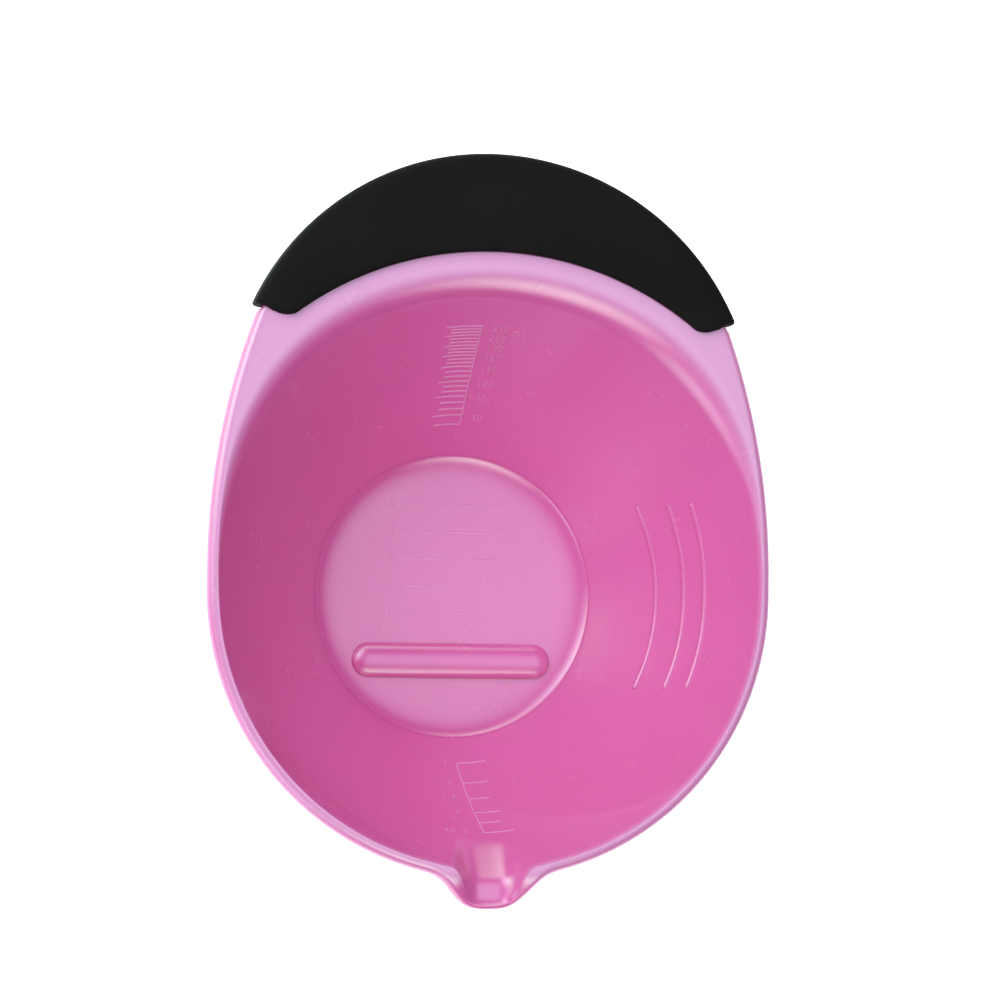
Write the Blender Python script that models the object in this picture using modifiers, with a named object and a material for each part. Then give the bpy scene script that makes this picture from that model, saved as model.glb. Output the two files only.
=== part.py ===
"""Hair colour mixing bowl: a one-piece bowl with a pouring spout, a soft grip and a non-slip foot ring.

Units are metres and +Z is up. +Y points to the handle and -Y to the spout. The origin lies under the
middle of the bounding box, on the surface that the foot ring stands on. Profiles are written as
(radius, height) pairs round the bowl's axis, with heights measured from the rim plane.
"""
import math

import bmesh
import bpy
from mathutils import Vector

MM = 0.001

# Overall sizes
RIM_HEIGHT = 46.0 * MM
RIM_RADIUS = 65.1 * MM
FRONT_RADIUS = 64.2 * MM
AXIS_Y = -13.8 * MM
GAP = 0.3 * MM

# Inner wall: an arc from the edge of the dish to the rim plane
WALL_TOP_RADIUS = 62.7 * MM
DISH_RADIUS = 33.4 * MM
DISH_DEPTH = 39.4 * MM
WALL_BULGE = 2.4 * MM
WALL_THICKNESS = 2.0 * MM

# Floor of the dish
FLAT_RADIUS = 20.0 * MM
FLOOR_DEPTH = 41.2 * MM
FLOOR_THICKNESS = 2.2 * MM
DISH_STEEPNESS = 0.9965

# Rim bead
RIM_ROUND = 2.0 * MM
RIM_LIP = 4.0 * MM
ROLL_DEPTH = 1.6 * MM
ROLL_WIDTH = 0.95 * MM
LAND_MIN = 0.1 * MM
LIP_DRAFT = 0.2 * MM
UNDER_INSET = 0.8 * MM
UNDER_WIDTH = 1.5 * MM

# The wall flares out below the handle, and the roll over to the handle is broad
FLARE = 4.9 * MM
FLARE_HEIGHT = 30.0 * MM
FLARE_POWER = 1.5
FLARE_START = math.radians(85)
FLARE_FULL = math.radians(150)
BACK_ROLL_DEPTH = 4.0 * MM
BACK_ROLL_WIDTH = 8.5 * MM

# Spout
SPOUT_LENGTH = 6.8 * MM
SPOUT_HALF_ANGLE = math.radians(8.6)
SPOUT_SHARPNESS = 3.3
SPOUT_DROP = 3.7 * MM
SPOUT_DROP_START = 63.2 * MM
SPOUT_SECTOR = math.radians(16)
SPOUT_UNDER_DEPTH = 16.0 * MM
SPOUT_UNDER_RISE = 2.2 * MM
MOUTH_HALF_ANGLE = math.radians(10.3)
MOUTH_SHARPNESS = 4.5
CHANNEL_HALF_ANGLE = math.radians(6.3)
CHANNEL_SHARPNESS = 4
CHANNEL_START_DEPTH = 12.0 * MM
CHANNEL_END_RADIUS = 69.4 * MM
CHANNEL_END_DEPTH = 0.6 * MM
CHANNEL_PULL = 2.1 * MM
TIP_ROUND = 1.0 * MM
TIP_LIP = 2.7 * MM

# Plan outline behind the spout half: two side arcs, then the arc of the handle
SIDE_ARC_RADIUS = 158.0 * MM
SIDE_ARC_START_Y = 5.0 * MM
HANDLE_ARC_RADIUS = 61.2 * MM
HANDLE_ARC_Y = 37.4 * MM
HANDLE_DROOP = 1.6 * MM
DROOP_START_Y = 70.0 * MM
FLANGE_THICKNESS = 2.4 * MM

# Grip
GRIP_INNER_RADIUS = 76.1 * MM
GRIP_END_ANGLE = math.radians(42.2)
GRIP_END_SLANT = 0.079
GRIP_END_GAP = math.radians(0.5)
GRIP_END_STEP = math.radians(0.2)
GRIP_ABOVE = 1.8 * MM
GRIP_BELOW = 4.9 * MM
GRIP_SIDE = 2.4 * MM
GRIP_ROUND = 1.0 * MM
GRIP_SIDE_ROUND = 1.8 * MM
PEG_RADIUS = 2.2 * MM
PEG_ROOT = 0.7 * MM
PEG_ANGLES = [math.radians(10 * step) for step in range(-3, 4)]

# Foot and foot ring
FOOT_RADIUS = 34.4 * MM
FOOT_INNER_RADIUS = 28.6 * MM
FOOT_HEIGHT = 1.2 * MM
RING_INNER_RADIUS = 30.1 * MM
RING_OUTER_RADIUS = 32.9 * MM
RING_HEIGHT = 2.4 * MM
RING_EDGE = 0.3 * MM

# Raised details inside the bowl
RIB_DEPTHS = (15.2 * MM, 20.1 * MM, 26.3 * MM)
RIB_HALF_LENGTH = 21.0 * MM
RIB_WIRE_RADIUS = 0.6 * MM
RIB_SINK = 0.1 * MM
BAR_LENGTH = 48.0 * MM
BAR_WIDTH = 8.2 * MM
BAR_HEIGHT = 2.0 * MM
BAR_SINK = 0.8 * MM
BAR_ROUND = 1.6 * MM
BAR_Y = -15.3 * MM


def mix(start, end, weight):
    return start + (end - start) * weight


def smooth(low, high, value):
    part = min(max((value - low) / (high - low), 0.0), 1.0)
    return part * part * (3 - 2 * part)


def steps(start, end, count):
    """Count values after start, up to and including end."""
    return [mix(start, end, (i + 1) / count) for i in range(count)]


def bezier(start, corner, end, count):
    """Points after start on the quadratic curve that the corner pulls."""
    points = []
    for t in steps(0.0, 1.0, count):
        a, b, c = (1 - t) ** 2, 2 * t * (1 - t), t * t
        points.append((a * start[0] + b * corner[0] + c * end[0], a * start[1] + b * corner[1] + c * end[1]))
    return points


def reach(turn, centre, radius):
    """Distance from the bowl's axis to a circle, in the direction of turn. Turn 0 points at the spout."""
    along = math.sin(turn) * centre[0] - math.cos(turn) * centre[1]
    return along + math.sqrt(along ** 2 - centre[0] ** 2 - centre[1] ** 2 + radius ** 2)


def spout_bump(turn):
    """How far the outline has moved out to the spout's tip."""
    return math.exp(-(abs(turn) / SPOUT_HALF_ANGLE) ** SPOUT_SHARPNESS)


def mouth_weight(turn):
    """How far the pouring channel has cut into the wall, where it starts."""
    return math.exp(-(abs(turn) / MOUTH_HALF_ANGLE) ** MOUTH_SHARPNESS)


def channel_weight(turn):
    """How far the pouring channel has cut into the rim."""
    return math.exp(-(abs(turn) / CHANNEL_HALF_ANGLE) ** CHANNEL_SHARPNESS)


def spout_drop(radius):
    """How far the spout bends down below the rim plane."""
    return SPOUT_DROP * smooth(SPOUT_DROP_START, FRONT_RADIUS + SPOUT_LENGTH, radius)


def plain_rim(turn):
    """Plan outline of the rim without spout or handle."""
    if abs(turn) < math.pi / 2:
        return 1 / math.hypot(math.sin(turn) / RIM_RADIUS, math.cos(turn) / FRONT_RADIUS)
    side_x = RIM_RADIUS / abs(math.sin(turn))
    if -side_x * math.cos(turn) < SIDE_ARC_START_Y:
        return side_x
    centre = (math.copysign(SIDE_ARC_RADIUS - RIM_RADIUS, -turn), SIDE_ARC_START_Y)
    return reach(turn, centre, SIDE_ARC_RADIUS)


def handle_outline(turn):
    return reach(turn, (0.0, HANDLE_ARC_Y), HANDLE_ARC_RADIUS)


def is_under_grip(turn):
    return math.pi - abs(turn) < GRIP_END_ANGLE + GRIP_END_GAP


def outline(turn):
    if is_under_grip(turn):
        return handle_outline(turn) - GRIP_SIDE
    return plain_rim(turn) + SPOUT_LENGTH * spout_bump(turn)


def arc_radius_at(height, offset):
    """Radius of the wall's arc at a height, or of the arc parallel to it at an offset."""
    run = WALL_TOP_RADIUS - DISH_RADIUS
    chord = math.hypot(run, DISH_DEPTH)
    radius = chord ** 2 / (8 * WALL_BULGE) + WALL_BULGE / 2
    back = radius - WALL_BULGE
    centre_r = (WALL_TOP_RADIUS + DISH_RADIUS) / 2 - back * DISH_DEPTH / chord
    centre_z = -DISH_DEPTH / 2 + back * run / chord
    return centre_r + math.sqrt((radius + offset) ** 2 - (height - centre_z) ** 2)


def wall(turn, height, offset=0.0):
    """Wall radius in the direction of turn, with the slim front and the flare under the handle."""
    up = max(1 + height / DISH_DEPTH, 0.0)
    slim = (min(plain_rim(turn), RIM_RADIUS) - RIM_RADIUS) * up
    rise = max(1 + (height + BACK_ROLL_DEPTH) / FLARE_HEIGHT, 0.0)
    flare = FLARE * smooth(FLARE_START, FLARE_FULL, abs(turn)) * rise ** FLARE_POWER
    return arc_radius_at(height, offset) + slim + flare


def wall_rise(turn, height):
    """Direction up the wall, as a unit (radius, height) pair."""
    small = 0.1 * MM
    run = wall(turn, height + small) - wall(turn, height - small)
    length = math.hypot(run, 2 * small)
    return run / length, 2 * small / length


def dish_rise(radius):
    """Height of the dish's floor above its flat middle: slow at first, then steep up to the crisp edge."""
    part = min(max((radius - FLAT_RADIUS) / (DISH_RADIUS - FLAT_RADIUS), 0.0), 1.0)
    full = 1 - math.sqrt(1 - DISH_STEEPNESS ** 3)
    return (FLOOR_DEPTH - DISH_DEPTH) * (1 - math.sqrt(1 - (DISH_STEEPNESS * part) ** 3)) / full


def dish_profile():
    """The floor, with points closer together towards the edge."""
    radii = [FLAT_RADIUS / 2, FLAT_RADIUS]
    radii += [mix(DISH_RADIUS, FLAT_RADIUS, (1 - part) ** 2) for part in steps(0.0, 1.0, 6)]
    return [(r, dish_rise(r) - FLOOR_DEPTH) for r in radii]


def foot_profile():
    """From the outer wall's end, down round the foot and its groove, to the underside of the floor."""
    bottom = -(RIM_HEIGHT - FOOT_HEIGHT)
    groove = -(RIM_HEIGHT - RING_HEIGHT - GAP)
    return [
        (FOOT_RADIUS, bottom),
        (RING_OUTER_RADIUS + GAP, bottom),
        (RING_OUTER_RADIUS + GAP, groove),
        (RING_INNER_RADIUS - GAP, groove),
        (RING_INNER_RADIUS - GAP, bottom),
        (FOOT_INNER_RADIUS, bottom),
        (FOOT_INNER_RADIUS, -(FLOOR_DEPTH + FLOOR_THICKNESS)),
        (FOOT_INNER_RADIUS * 0.5, -(FLOOR_DEPTH + FLOOR_THICKNESS)),
    ]


def rim_section(turn):
    """Closed profile of the bowl in one direction, from the floor's middle over the rim to the underside."""
    back = smooth(FLARE_START, FLARE_FULL, abs(turn))
    inside = channel_weight(turn)
    outside = spout_bump(turn)
    edge = outline(turn)

    mouth = mouth_weight(turn)
    start_z = -mix(mix(ROLL_DEPTH, BACK_ROLL_DEPTH, back), CHANNEL_START_DEPTH, mouth)
    start = (wall(turn, start_z), start_z)
    edge_round = TIP_ROUND if is_under_grip(turn) else mix(RIM_ROUND, TIP_ROUND, inside)
    wall_top = wall(turn, -mix(ROLL_DEPTH, BACK_ROLL_DEPTH, back))
    roll_r = min(wall_top + mix(ROLL_WIDTH, BACK_ROLL_WIDTH, back), edge - edge_round - LAND_MIN)
    roll_end = (mix(roll_r, CHANNEL_END_RADIUS, inside), -CHANNEL_END_DEPTH * inside)
    rise_r, rise_z = wall_rise(turn, start_z)
    pull = mix(-start_z / rise_z, CHANNEL_PULL, mouth)
    corner = (start[0] + pull * rise_r, start[1] + pull * rise_z)

    rim = bezier(start, corner, roll_end, 6)
    round_start = (edge - edge_round, 0.0)
    rim += [(mix(roll_end[0], round_start[0], 0.5), mix(roll_end[1], 0.0, 0.5)), round_start]
    for angle in steps(0.0, math.pi / 2, 3):
        rim.append((round_start[0] + edge_round * math.sin(angle), edge_round * (math.cos(angle) - 1)))

    lip = mix(mix(RIM_LIP, FLANGE_THICKNESS, back), TIP_LIP, inside)
    under_r = mix(min(roll_end[0] + UNDER_WIDTH, edge - UNDER_INSET), edge - UNDER_INSET, outside)
    under_depth = mix(RIM_LIP + UNDER_WIDTH, BACK_ROLL_DEPTH + FLANGE_THICKNESS, back)
    outer_z = -mix(under_depth, SPOUT_UNDER_DEPTH, outside)
    outer_end = (wall(turn, outer_z, WALL_THICKNESS), outer_z)
    under_corner_z = mix(-lip, outer_z + SPOUT_UNDER_RISE, outside)
    under_corner = (outer_end[0] + (under_corner_z - outer_z) * rise_r / rise_z, under_corner_z)
    rim += [(edge - LIP_DRAFT, -lip), (under_r, -lip)]
    rim += bezier((under_r, -lip), under_corner, outer_end, 4)

    inner = [(wall(turn, z), z) for z in steps(-DISH_DEPTH, start_z, 6)]
    outer = [(wall(turn, z, WALL_THICKNESS), z) for z in steps(outer_z, -(DISH_DEPTH + UNDER_WIDTH), 4)]
    bent = [(r, z - spout_drop(r) * math.sqrt(outside)) for r, z in rim]
    return dish_profile() + inner + bent + outer + foot_profile()


def droop(y):
    """How far the handle has dropped below the rim plane at a distance y behind the bowl's axis."""
    part = max(y - DROOP_START_Y, 0.0) / (HANDLE_ARC_Y + HANDLE_ARC_RADIUS - DROOP_START_Y)
    return HANDLE_DROOP * part ** 2


def place(turn, point):
    """World position of a (radius, height) pair."""
    y = -point[0] * math.cos(turn)
    return Vector((point[0] * math.sin(turn), y + AXIS_Y, point[1] + RIM_HEIGHT - droop(y)))


def bowl_turns():
    """Directions of the sections: close together at the spout and handle, and at the grip's ends."""
    grip = math.pi - GRIP_END_ANGLE - GRIP_END_GAP
    half = steps(0.0, SPOUT_SECTOR, 10) + steps(SPOUT_SECTOR, grip - GRIP_END_STEP, 24)
    half += [grip + GRIP_END_STEP, *steps(grip + GRIP_END_STEP, math.pi, 14)]
    return sorted([0.0, *half, *[-turn for turn in half[:-1]]])


def principled(name, colour, roughness):
    material = bpy.data.materials.new(name)
    material.use_nodes = True
    shader = material.node_tree.nodes["Principled BSDF"]
    shader.inputs["Base Color"].default_value = (*colour, 1.0)
    shader.inputs["Roughness"].default_value = roughness
    shader.inputs["Metallic"].default_value = 0.0
    return material


def collection(name):
    group = bpy.data.collections.new(name)
    bpy.context.scene.collection.children.link(group)
    return group


def add_mesh(name, build, group, material=None):
    """New object in a collection, from a bmesh that build fills in."""
    work = bmesh.new()
    build(work)
    bmesh.ops.recalc_face_normals(work, faces=work.faces)
    mesh = bpy.data.meshes.new(name)
    work.to_mesh(mesh)
    work.free()
    obj = bpy.data.objects.new(name, mesh)
    group.objects.link(obj)
    if material:
        mesh.materials.append(material)
    mesh.shade_smooth()
    mesh.set_sharp_from_angle(angle=math.radians(35))
    return obj


def use_as_tool(obj):
    obj.hide_render = True
    obj.display_type = "WIRE"
    return obj


def combine(obj, tool, operation):
    modifier = obj.modifiers.new(f"{operation.lower()}_{tool.name}", "BOOLEAN")
    modifier.operation = operation
    modifier.solver = "EXACT"
    modifier.object = tool


def build_bowl(work):
    """Loft of the sections all round the axis, closed by a fan at each pole."""
    rings = [[work.verts.new(place(turn, point)) for point in rim_section(turn)] for turn in bowl_turns()]
    top = work.verts.new(place(0.0, (0.0, -FLOOR_DEPTH)))
    bottom = work.verts.new(place(0.0, (0.0, -(FLOOR_DEPTH + FLOOR_THICKNESS))))
    for i, ring in enumerate(rings):
        after = rings[(i + 1) % len(rings)]
        work.faces.new((top, ring[0], after[0]))
        work.faces.new((bottom, after[-1], ring[-1]))
        for j in range(len(ring) - 1):
            work.faces.new((ring[j], ring[j + 1], after[j + 1], after[j]))


def rounded_corner(start, corner, end):
    """Points after start round a corner of the grip's profile, given as (share, shift, height)."""
    curve = bezier(start[1:], corner[1:], end[1:], 3)
    return [(start[0], shift, z) for shift, z in curve]


def grip_section():
    """Closed profile of the grip: its skin, then the pocket that holds the handle.

    A point is (share, shift, height). Its radius lies that share of the way from the grip's inner edge to
    its outer edge, plus the shift.
    """
    high, low = GRIP_ABOVE, -GRIP_BELOW
    under = -FLANGE_THICKNESS - GAP
    edge, side = GRIP_ROUND, GRIP_SIDE_ROUND
    skin = [(0.0, 0.0, GAP), (0.0, 0.0, high - edge)]
    skin += rounded_corner((0.0, 0.0, high - edge), (0.0, 0.0, high), (0.0, edge, high))
    skin += [(0.5, 0.0, high), (1.0, -side, high)]
    skin += rounded_corner((1.0, -side, high), (1.0, 0.0, high), (1.0, 0.0, high - side))
    skin += [(1.0, 0.0, low + side)]
    skin += rounded_corner((1.0, 0.0, low + side), (1.0, 0.0, low), (1.0, -side, low))
    skin += [(0.5, 0.0, low), (0.0, 2 * edge, low), (0.0, edge, under)]
    pocket = [(0.5, 0.0, under), (1.0, GAP - GRIP_SIDE, under), (1.0, GAP - GRIP_SIDE, GAP), (0.5, 0.0, GAP)]
    return skin + pocket


# Convex faces that close an end of the grip, as positions in its profile: above, beyond and below the pocket
GRIP_END_FACES = ((*range(6), 20), (5, 6, 19, 20), (*range(6, 14), 18, 19),
                  (13, 14, 17, 18), (14, 15, 16, 17))


def place_on_grip(angle, point):
    """World position of a point of the grip's profile. The sections slant towards the grip's ends."""
    share, shift, z = point
    outer = handle_outline(math.pi + angle)
    from_outer = outer - mix(GRIP_INNER_RADIUS, outer, share) - shift
    slanted = angle * (1 - GRIP_END_SLANT * from_outer / (outer - GRIP_INNER_RADIUS))
    r = mix(GRIP_INNER_RADIUS, handle_outline(math.pi + slanted), share) + shift
    return place(math.pi + slanted, (r, z))


def build_grip(work):
    section = grip_section()
    angles = [-GRIP_END_ANGLE] + steps(-GRIP_END_ANGLE, GRIP_END_ANGLE, 28)
    rings = [[work.verts.new(place_on_grip(angle, point)) for point in section] for angle in angles]
    for ring, after in zip(rings, rings[1:]):
        for j in range(len(section)):
            k = (j + 1) % len(section)
            work.faces.new((ring[j], ring[k], after[k], after[j]))
    for ring in (rings[0], rings[-1]):
        for face in GRIP_END_FACES:
            work.faces.new([ring[i] for i in face])


def peg_position(angle):
    """Middle of the handle's width in one direction, and the drop of the handle there."""
    r = (GRIP_INNER_RADIUS + handle_outline(math.pi + angle) - GRIP_SIDE) / 2
    return place(math.pi + angle, (r, -FLANGE_THICKNESS / 2))


def cylinders(radius, height):
    def build(work):
        for angle in PEG_ANGLES:
            made = bmesh.ops.create_cone(work, cap_ends=True, segments=16, radius1=radius, radius2=radius,
                                         depth=height)
            bmesh.ops.translate(work, verts=made["verts"], vec=peg_position(angle))
    return build


def build_bar(work):
    """Stadium outline, raised from below the floor."""
    half = BAR_LENGTH / 2 - BAR_WIDTH / 2
    outline_points = []
    for side in (1, -1):
        for i in range(9):
            angle = math.pi / 2 - math.pi * i / 8
            x = side * (half + BAR_WIDTH / 2 * math.cos(angle))
            y = side * BAR_WIDTH / 2 * math.sin(angle)
            outline_points.append((x, y))
    base_z = RIM_HEIGHT - FLOOR_DEPTH - BAR_SINK
    verts = [work.verts.new((x, y + BAR_Y + AXIS_Y, base_z)) for x, y in outline_points]
    face = work.faces.new(verts)
    raised = bmesh.ops.extrude_face_region(work, geom=[face])["geom"]
    top = [item for item in raised if isinstance(item, bmesh.types.BMVert)]
    bmesh.ops.translate(work, verts=top, vec=(0, 0, BAR_HEIGHT + BAR_SINK))


def add_bar(group):
    bar = use_as_tool(add_mesh("bar", build_bar, group))
    rounding = bar.modifiers.new("round_top", "BEVEL")
    rounding.width = BAR_ROUND
    rounding.segments = 3
    rounding.limit_method = "ANGLE"
    rounding.angle_limit = math.radians(60)
    return bar


def add_rib(depth, group):
    """Half-sunk wire along the wall at one height, on the +X side."""
    radius = arc_radius_at(-depth, 0.0) + RIB_SINK
    span = math.asin(RIB_HALF_LENGTH / radius)
    name = f"rib_{round(depth / MM)}"
    curve = bpy.data.curves.new(name, "CURVE")
    curve.dimensions = "3D"
    curve.bevel_depth = RIB_WIRE_RADIUS
    curve.bevel_resolution = 1
    curve.use_fill_caps = True
    spline = curve.splines.new("POLY")
    angles = [-span] + steps(-span, span, 14)
    spline.points.add(len(angles) - 1)
    for point, angle in zip(spline.points, angles):
        x, y, z = place(math.pi / 2 + angle, (radius, -depth))
        point.co = (x, y, z, 1.0)
    wire = bpy.data.objects.new(name, curve)
    group.objects.link(wire)
    bpy.context.view_layer.update()
    depsgraph = bpy.context.evaluated_depsgraph_get()
    mesh = bpy.data.meshes.new_from_object(wire.evaluated_get(depsgraph))
    work = bmesh.new()
    work.from_mesh(mesh)
    bmesh.ops.remove_doubles(work, verts=work.verts, dist=0.01 * MM)
    bmesh.ops.recalc_face_normals(work, faces=work.faces)
    work.to_mesh(mesh)
    work.free()
    solid = bpy.data.objects.new(name + "_solid", mesh)
    solid.matrix_world = wire.matrix_world
    group.objects.link(solid)
    bpy.data.objects.remove(wire)
    return use_as_tool(solid)


def add_foot_ring(group, material):
    """Turned profile with its small edges broken, run down the outer side first."""
    inner, outer, top, edge = RING_INNER_RADIUS, RING_OUTER_RADIUS, RING_HEIGHT, RING_EDGE
    profile = [(outer, top - edge), (outer, edge), (outer - edge, 0.0), (inner + edge, 0.0),
               (inner, edge), (inner, top - edge), (inner + edge, top), (outer - edge, top)]

    def build(work):
        verts = [work.verts.new((r, 0.0, z)) for r, z in profile]
        for i, vert in enumerate(verts):
            work.edges.new((vert, verts[(i + 1) % len(verts)]))

    ring = add_mesh("foot_ring", build, group, material)
    ring.location = (0.0, AXIS_Y, 0.0)
    turned = ring.modifiers.new("turn", "SCREW")
    turned.steps = 72
    turned.render_steps = 72
    turned.use_merge_vertices = True
    turned.merge_threshold = 0.00001
    return ring


def main():
    for obj in list(bpy.data.objects):
        bpy.data.objects.remove(obj, do_unlink=True)
    parts = collection("hair_color_bowl")
    tools = collection("cutters")

    pink = principled("glossy_pink", (0.72, 0.14, 0.42), 0.22)
    black = principled("black_grip_rubber", (0.012, 0.012, 0.013), 0.55)
    black_ring = principled("black_ring_rubber", (0.014, 0.014, 0.015), 0.65)

    bowl = add_mesh("bowl", build_bowl, parts, pink)
    combine(bowl, add_bar(tools), "UNION")
    for depth in RIB_DEPTHS:
        combine(bowl, add_rib(depth, tools), "UNION")
    holes = add_mesh("peg_holes", cylinders(PEG_RADIUS + GAP, 4 * FLANGE_THICKNESS), tools)
    combine(bowl, use_as_tool(holes), "DIFFERENCE")

    grip = add_mesh("grip", build_grip, parts, black)
    pegs = add_mesh("pegs", cylinders(PEG_RADIUS, FLANGE_THICKNESS + 2 * (GAP + PEG_ROOT)), tools)
    combine(grip, use_as_tool(pegs), "UNION")

    add_foot_ring(parts, black_ring)


main()
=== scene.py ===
"""Looks of the hair colour mixing bowl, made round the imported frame.

Units are metres and +Z is up. +Y points to the handle and -Y to the spout. Profiles are (radius, height)
pairs round the bowl's axis, with heights measured from the rim plane. A direction round the axis is a turn
in radians: turn 0 points at the spout and a quarter turn at +X.
"""

import math

import bmesh
import bpy
from mathutils import Matrix, Vector


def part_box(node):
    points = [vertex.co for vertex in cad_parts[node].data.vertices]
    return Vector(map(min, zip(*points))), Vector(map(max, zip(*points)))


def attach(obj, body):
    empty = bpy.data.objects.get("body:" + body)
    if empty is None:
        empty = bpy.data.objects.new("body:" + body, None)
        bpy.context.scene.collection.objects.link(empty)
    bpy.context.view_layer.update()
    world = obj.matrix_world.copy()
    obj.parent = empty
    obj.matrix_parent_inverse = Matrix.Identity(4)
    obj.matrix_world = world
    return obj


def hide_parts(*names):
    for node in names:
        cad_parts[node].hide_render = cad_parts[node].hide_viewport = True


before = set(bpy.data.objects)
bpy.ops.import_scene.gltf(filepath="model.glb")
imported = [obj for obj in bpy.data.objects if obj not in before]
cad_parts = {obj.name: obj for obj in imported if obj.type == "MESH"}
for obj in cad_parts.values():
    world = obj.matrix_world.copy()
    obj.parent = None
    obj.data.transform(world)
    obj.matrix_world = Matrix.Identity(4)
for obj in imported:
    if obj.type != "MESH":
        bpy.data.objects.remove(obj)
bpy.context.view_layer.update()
bowl_low, bowl_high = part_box("bowl")
grip_low, grip_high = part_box("grip")
ring_low, ring_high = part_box("foot_ring")
BODY = "root"
MM = 0.001

# Sizes and places that the frame gives
AXIS_Y = (ring_low.y + ring_high.y) / 2
RIM_HEIGHT = bowl_high.z
RIM_RADIUS = (bowl_high.x - bowl_low.x) / 2
FRONT_RADIUS = 64.2 * MM
SPOUT_LENGTH = AXIS_Y - bowl_low.y - FRONT_RADIUS
FOOT_HEIGHT = bowl_low.z
RING_HEIGHT = ring_high.z
RING_OUTER_RADIUS = (ring_high.x - ring_low.x) / 2
GRIP_ABOVE = grip_high.z - RIM_HEIGHT

# Inner wall: an arc from the edge of the dish to the rim plane
WALL_TOP_RADIUS = 62.7 * MM
DISH_RADIUS = 33.4 * MM
DISH_DEPTH = 39.4 * MM
WALL_BULGE = 2.4 * MM
WALL_THICKNESS = 2.0 * MM
DISH_EDGE_ROUND = 0.35 * MM
OUTER_WALL_BELOW = 1.5 * MM

# Floor of the dish
FLAT_RADIUS = 20.0 * MM
FLOOR_DEPTH = 41.2 * MM
FLOOR_THICKNESS = 2.2 * MM
DISH_STEEPNESS = 0.9965
DISH_POWER = 3
DISH_CROWDING = 2.2

# Rim bead, and how far down from its top a painted highlight makes the plastic paler
RIM_ROUND = 2.0 * MM
RIM_LIP = 4.0 * MM
ROLL_DEPTH = 1.6 * MM
ROLL_WIDTH = 0.95 * MM
ROLL_BLEND = 0.35 * MM
LIP_ROUND = 0.4 * MM
LIP_DRAFT = 0.05 * MM
LAND_MIN = 0.1 * MM
UNDER_INSET = 0.8 * MM
UNDER_WIDTH = 1.5 * MM
UNDER_HEIGHT = 1.5 * MM
PAINTED_LIGHT_DEPTH = 2.6 * MM

# The wall flares out below the handle, and the roll over to the handle is broad
FLARE = 4.9 * MM
FLARE_HEIGHT = 30.0 * MM
FLARE_START = math.radians(85)
FLARE_FULL = math.radians(150)
FLARE_POWER = 1.5
BACK_ROLL_DEPTH = 4.0 * MM
BACK_ROLL_WIDTH = 8.5 * MM

# Spout: the outline, the drop of its tip, and the channel that starts as a mouth in the wall
SPOUT_SECTOR = math.radians(16)
SPOUT_HALF_ANGLE = math.radians(8.6)
SPOUT_SHARPNESS = 3.3
SPOUT_DROP = 3.7 * MM
SPOUT_DROP_START = 63.2 * MM
SPOUT_UNDER_DEPTH = 16.0 * MM
SPOUT_UNDER_RISE = 2.2 * MM
MOUTH_HALF_ANGLE = math.radians(10.3)
MOUTH_SHARPNESS = 4.5
CHANNEL_HALF_ANGLE = math.radians(6.3)
CHANNEL_SHARPNESS = 4
CHANNEL_START_DEPTH = 12.0 * MM
CHANNEL_END_RADIUS = 69.4 * MM
CHANNEL_END_DEPTH = 0.6 * MM
CHANNEL_PULL = 2.1 * MM
TIP_ROUND = 1.0 * MM
TIP_LIP = 2.7 * MM

# Plan outline behind the spout half: two side arcs, then the arc of the handle
SIDE_ARC_RADIUS = 158.0 * MM
SIDE_ARC_START_Y = 5.0 * MM
HANDLE_ARC_Y = 37.4 * MM
HANDLE_ARC_RADIUS = grip_high.y - AXIS_Y - HANDLE_ARC_Y
HANDLE_DROOP = 1.6 * MM
DROOP_START_Y = 70.0 * MM
FLANGE_THICKNESS = 2.4 * MM

# Grip: sizes, then shares of its edge rounding and of its crown
GRIP_INNER_RADIUS = 76.1 * MM
GRIP_END_ANGLE = math.radians(42.2)
GRIP_END_SLANT = 0.079
GRIP_END_STEP = math.radians(0.03)
GRIP_BELOW = 4.9 * MM
GRIP_SIDE = 2.4 * MM
GRIP_ROUND = 1.15 * MM
GRIP_SIDE_ROUND = 1.8 * MM
GRIP_CROWN = 0.2 * MM
GRIP_INNER_CORNER = 2.3 * MM
GRIP_OUTER_CORNER = 1.0 * MM
GRIP_GAP = 0.06 * MM
GRIP_TOP_START = 1.3
GRIP_TOP_EDGE = 0.8
GRIP_UNDER_START = 2
GRIP_UNDER_CORNER = 0.2
POCKET_INSET = 0.4
POCKET_CROWDING = 0.7

# Foot and foot ring
FOOT_RADIUS = 34.4 * MM
FOOT_INNER_RADIUS = 28.6 * MM
FOOT_ROUND = 0.4 * MM
RING_INNER_RADIUS = 30.1 * MM
RING_EDGE = 0.45 * MM
RING_GAP = 0.06 * MM
GATE_RADIUS = 2.2 * MM
GATE_DEPTH = 0.35 * MM
GATE_SLOPE_START = 0.7
GATE_SLOPE_END = 0.2
TREAD_SHARE = 5
TREAD_SLOPE = 0.1
TREAD_DEPTH = 0.5

# Raised details inside the bowl
RIB_DEPTHS = (15.2 * MM, 20.1 * MM, 26.3 * MM)
RIB_HALF_LENGTH = 21.0 * MM
RIB_HALF_WIDTH = 0.6 * MM
RIB_RISE = 0.55 * MM
BAR_LENGTH = 48.0 * MM
BAR_WIDTH = 8.2 * MM
BAR_HEIGHT = 2.0 * MM
BAR_FULLNESS = 2.1
BAR_Y = -15.3 * MM

# Lines and letters moulded inside the bowl
LINE_HALF_WIDTH = 0.21 * MM
LINE_RISE = 0.16 * MM
LINE_SINK = 0.12 * MM
LINE_TIP = 0.03
LETTER_RISE = 0.15 * MM
LETTER_SPACING = 1.3
WELD_DISTANCE = 0.001 * MM

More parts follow.
